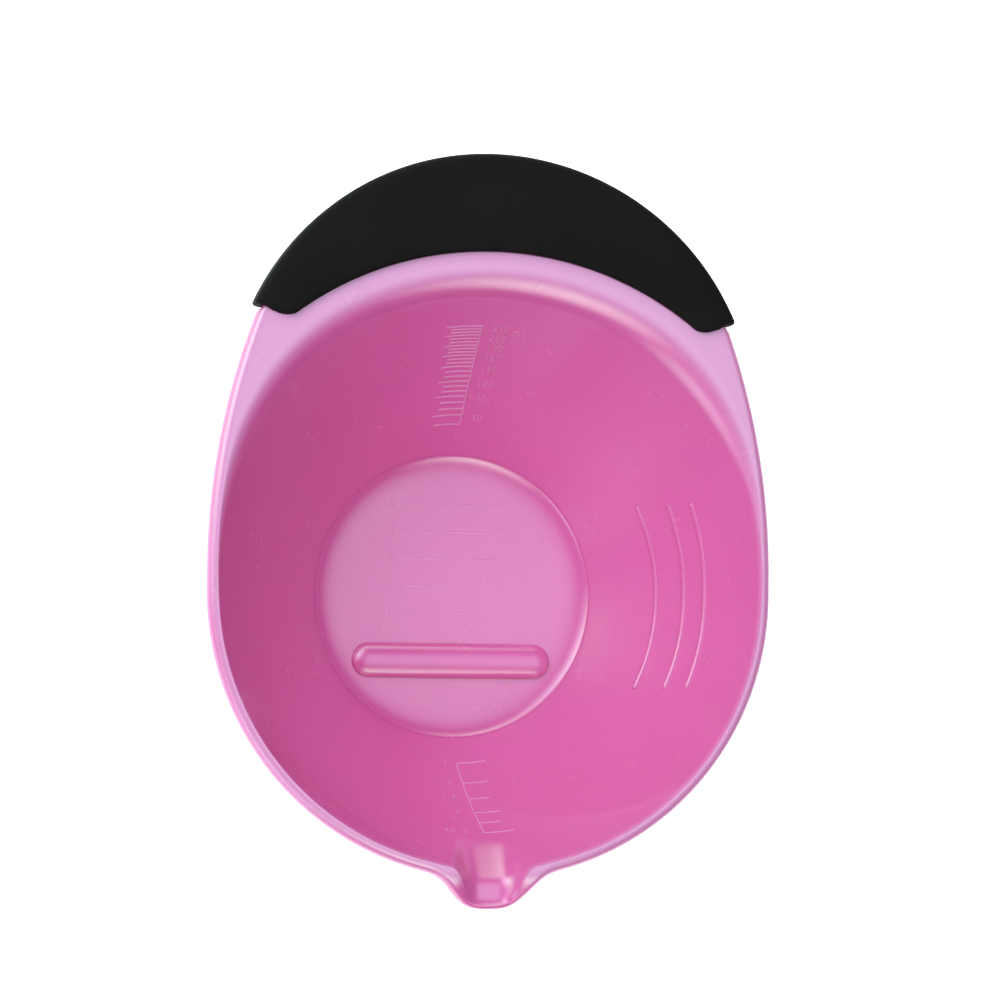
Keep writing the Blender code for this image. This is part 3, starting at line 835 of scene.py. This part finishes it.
class Nodes:
    """Adds nodes to a material and links them."""

    def __init__(self, name):
        self.material = bpy.data.materials.new(name)
        self.material.use_nodes = True
        self.tree = self.material.node_tree
        self.shader = self.tree.nodes["Principled BSDF"]

    def add(self, kind, values=None, **settings):
        """New node with its settings, and with a value or a link for each named input."""
        node = self.tree.nodes.new(kind)
        for key, value in settings.items():
            setattr(node, key, value)
        for socket, value in (values or {}).items():
            if isinstance(value, bpy.types.NodeSocket):
                self.tree.links.new(value, node.inputs[socket])
            else:
                node.inputs[socket].default_value = value
        return node

    def noise(self, scale, detail=2.0):
        """Noise with features of about 1/scale metres, in the object's own space."""
        place_node = self.add("ShaderNodeTexCoord")
        values = {"Vector": place_node.outputs["Object"], "Scale": scale, "Detail": detail}
        return self.add("ShaderNodeTexNoise", values).outputs["Fac"]

    def remap(self, value, low, high, start, end):
        """Value from low to high becomes start to end."""
        values = {"Value": value, "From Min": low, "From Max": high, "To Min": start, "To Max": end}
        return self.add("ShaderNodeMapRange", values).outputs["Result"]

    def height(self):
        """Height above the surface that the bowl stands on."""
        place_node = self.add("ShaderNodeTexCoord")
        return self.add("ShaderNodeSeparateXYZ", {"Vector": place_node.outputs["Object"]}).outputs["Z"]

    def larger(self, first, second):
        """The larger of two values."""
        return self.add("ShaderNodeMath", {0: first, 1: second}, operation="MAXIMUM").outputs["Value"]

    def blend(self, weight, *colours):
        """Colour that runs through the given ones while the weight goes from 0 to 1."""
        ramp = self.add("ShaderNodeValToRGB", {"Fac": weight})
        elements = ramp.color_ramp.elements
        for i in range(1, len(colours) - 1):
            elements.new(i / (len(colours) - 1))
        for element, colour in zip(elements, colours):
            element.color = (*colour, 1.0)
        return ramp.outputs["Color"]

    def bump(self, height, distance):
        """Normal of a surface that a height from 0 to 1 raises by up to the distance."""
        values = {"Height": height, "Distance": distance}
        return self.add("ShaderNodeBump", values).outputs["Normal"]

    def set(self, values):
        """Sets or links the shader's inputs, and gives the finished material."""
        for socket, value in values.items():
            if isinstance(value, bpy.types.NodeSocket):
                self.tree.links.new(value, self.shader.inputs[socket])
            else:
                self.shader.inputs[socket].default_value = value
        return self.material


def pink_plastic():
    """Glossy moulded polypropylene, slightly uneven, and painted paler at the rim: a painted highlight that
    stands in for light coming through the rim's thin edge.
    """
    nodes = Nodes("pink_plastic")
    cloudy = nodes.remap(nodes.noise(28.0, 3.0), 0.35, 0.65, 0.0, 0.5)
    # Painted highlight: towards the top of the rim the colour blends to the paler pink
    painted_rim_light = nodes.remap(nodes.height(), RIM_HEIGHT - PAINTED_LIGHT_DEPTH, RIM_HEIGHT, 0.0, 1.0)
    colour = nodes.blend(nodes.larger(cloudy, painted_rim_light), PINK_DARK, PINK_LIGHT, PINK_RIM_PAINTED_LIGHT)
    roughness = nodes.remap(nodes.noise(140.0, 4.0), 0.3, 0.7, 0.20, 0.28)
    ripple = nodes.bump(nodes.noise(50.0, 0.0), 0.03 * MM)
    return nodes.set({"Base Color": colour, "Roughness": roughness, "Normal": ripple, "Coat Weight": 1.0,
                      "Coat Roughness": 0.04, "IOR": 1.49})


def pink_marks():
    """The same plastic where the mould was etched, a little rougher, and painted paler: a painted highlight
    for the light that the raised lines and letters catch.
    """
    nodes = Nodes("pink_marks")
    colour = nodes.blend(nodes.noise(300.0, 2.0), MARK_PAINTED_SHEEN_DARK, MARK_PAINTED_SHEEN_LIGHT)
    rough = nodes.remap(nodes.noise(500.0, 3.0), 0.3, 0.7, 0.30, 0.42)
    return nodes.set({"Base Color": colour, "Roughness": rough, "Coat Weight": 0.6, "Coat Roughness": 0.2,
                      "IOR": 1.49})


def soft_rubber(name, dark, light, roughness, grain_depth):
    """Black moulded rubber with a fine even grain and faint lighter rubbed patches."""
    nodes = Nodes(name)
    patches = nodes.noise(60.0, 4.0)
    colour = nodes.blend(nodes.remap(patches, 0.35, 0.7, 0.0, 1.0), dark, light)
    rough = nodes.remap(patches, 0.3, 0.7, roughness - 0.05, roughness + 0.05)
    grain = nodes.bump(nodes.noise(2600.0, 3.0), grain_depth)
    return nodes.set({"Base Color": colour, "Roughness": rough, "Normal": grain, "IOR": 1.5,
                      "Specular IOR Level": 0.10, "Specular Tint": RUBBER_SHEEN})


def floor_white():
    """Plain white ground that glows a little, so that it stays white under the bowl's soft shadows."""
    nodes = Nodes("floor_white")
    tone = nodes.blend(nodes.noise(3.0), FLOOR_DARK, FLOOR_LIGHT)
    return nodes.set({"Base Color": tone, "Roughness": 0.8, "Emission Color": FLOOR_GLOW,
                      "Emission Strength": 1.0})


# Stage, light and camera


def add_floor():
    """Square ground that the foot ring stands on."""
    mesh = bpy.data.meshes.new("floor")
    half = FLOOR_HALF
    corners = [(-half, -half, 0), (half, -half, 0), (half, half, 0), (-half, half, 0)]
    mesh.from_pydata(corners, [], [(0, 1, 2, 3)])
    mesh.materials.append(floor_white())
    floor = bpy.data.objects.new("floor", mesh)
    bpy.context.scene.collection.objects.link(floor)


def aim(light_object, azimuth, elevation, distance):
    """Places a light in a direction from the bowl, turned to it. Azimuth 0 is +X and 90 is +Y."""
    turn, up = math.radians(azimuth), math.radians(elevation)
    away = Vector((math.cos(up) * math.cos(turn), math.cos(up) * math.sin(turn), math.sin(up)))
    light_object.location = Vector((0.0, AXIS_Y, RIM_HEIGHT / 2)) + away * distance
    light_object.rotation_euler = away.to_track_quat("Z", "Y").to_euler()


def add_softbox(name, azimuth, elevation, size, power, colour):
    """Square diffuser that is bright in its middle and fades out to its edge."""
    light = bpy.data.lights.new(name, "AREA")
    light.shape = "SQUARE"
    light.size = size
    light.energy = power / FADE_MEAN
    light.color = colour
    light.use_nodes = True
    tree = light.node_tree
    place_node = tree.nodes.new("ShaderNodeNewGeometry")
    from_middle = tree.nodes.new("ShaderNodeVectorMath")
    from_middle.operation = "DISTANCE"
    from_middle.inputs[1].default_value = (0.5, 0.5, 0.0)
    fade = tree.nodes.new("ShaderNodeMapRange")
    fade.interpolation_type = "SMOOTHSTEP"
    fade.inputs["From Min"].default_value = 0.5
    fade.inputs["From Max"].default_value = 0.0
    tree.links.new(place_node.outputs["Parametric"], from_middle.inputs[0])
    tree.links.new(from_middle.outputs["Value"], fade.inputs["Value"])
    tree.links.new(fade.outputs["Result"], tree.nodes["Emission"].inputs["Strength"])
    box = bpy.data.objects.new(name, light)
    aim(box, azimuth, elevation, SOFTBOX_DISTANCE)
    bpy.context.scene.collection.objects.link(box)


def add_world():
    """Dim white surroundings."""
    world = bpy.data.worlds.new("studio")
    world.use_nodes = True
    background = world.node_tree.nodes["Background"]
    background.inputs["Color"].default_value = (1.0, 1.0, 1.0, 1.0)
    background.inputs["Strength"].default_value = SKY_STRENGTH
    bpy.context.scene.world = world


def add_lights():
    """A large soft key from behind on the left, with weaker fill round it and from above."""
    add_softbox("key", 135, 50, 1.5, 9.6, (0.65, 0.84, 0.95))
    add_softbox("left_low", 157, 28, 1.5, 7.6, (0.48, 1.0, 0.65))
    add_softbox("back_low", 90, 28, 1.5, 6.4, (0.65, 1.0, 0.72))
    add_softbox("left_front_low", 225, 28, 1.5, 5.2, (0.70, 1.0, 1.0))
    add_softbox("front", 280, 48, 1.2, 5.4, (0.75, 1.0, 0.80))
    add_softbox("overhead", 8, 74, 1.4, 3.6, (0.60, 0.85, 1.0))


def add_camera():
    """Long lens almost straight above the bowl, a little to its left."""
    data = bpy.data.cameras.new("camera")
    data.lens = CAMERA_LENS
    data.sensor_width = CAMERA_SENSOR
    camera = bpy.data.objects.new("camera", data)
    camera.matrix_world = (Matrix.Translation(CAMERA_PLACE)
                           @ Matrix.Rotation(math.radians(CAMERA_TURN.length), 4, CAMERA_TURN))
    bpy.context.scene.collection.objects.link(camera)
    bpy.context.scene.camera = camera


def main():
    pink = pink_plastic()
    black = soft_rubber("grip_rubber", GRIP_DARK, GRIP_LIGHT, 0.62, 0.02 * MM)
    ring = soft_rubber("ring_rubber", RING_DARK, RING_LIGHT, 0.68, 0.03 * MM)
    add_camera()
    add_world()
    add_lights()
    add_floor()
    add_bowl(pink)
    add_bar(pink)
    marks = pink_marks()
    add_ribs(pink)
    add_floor_scale(marks)
    add_millilitre_scale(marks)
    add_ounce_scale(marks)
    add_grip(black)
    add_foot_ring(ring)
    bpy.context.scene.view_settings.view_transform = "Standard"


main()
